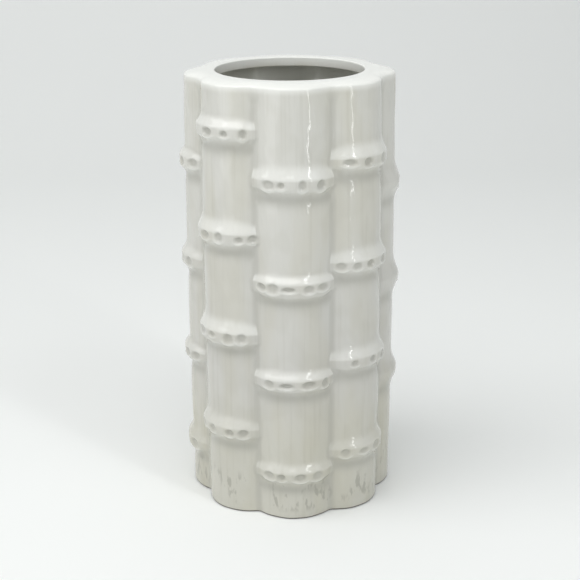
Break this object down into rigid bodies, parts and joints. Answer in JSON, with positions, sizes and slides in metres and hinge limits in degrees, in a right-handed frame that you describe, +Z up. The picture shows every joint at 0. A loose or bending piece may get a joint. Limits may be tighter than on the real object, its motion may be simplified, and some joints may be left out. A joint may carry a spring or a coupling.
{
  "type": "vase",
  "caption": "Tall ceramic vase shaped as a ring of bamboo culms with staggered dimpled node bands, a flat lobed rim and a round mouth; holds cut stems and water.",
  "frame": {"origin": "centre of the foot, on the surface that the vase stands on", "axes": "+Z up along the vase's axis, -Y towards the front culm of the picture, +X to the right as seen from the front"},
  "size_m": [0.1478, 0.1478, 0.29],
  "materials": {
    "white_glaze": "glossy off-white glaze, thin and greyer over the node bands and near the foot",
    "rim_glaze": "glossy off-white glaze",
    "floor_glaze": "off-white glaze inside, bare fired clay underneath"
  },
  "bodies": {
    "root": {"culm_front": "white_glaze", "culm_front_right": "white_glaze", "culm_right": "white_glaze", "culm_back_right": "white_glaze", "culm_back": "white_glaze", "culm_back_left": "white_glaze", "culm_left": "white_glaze", "culm_front_left": "white_glaze", "mouth_collar": "rim_glaze", "floor_disc": "floor_glaze"}
  },
  "joints": []
}
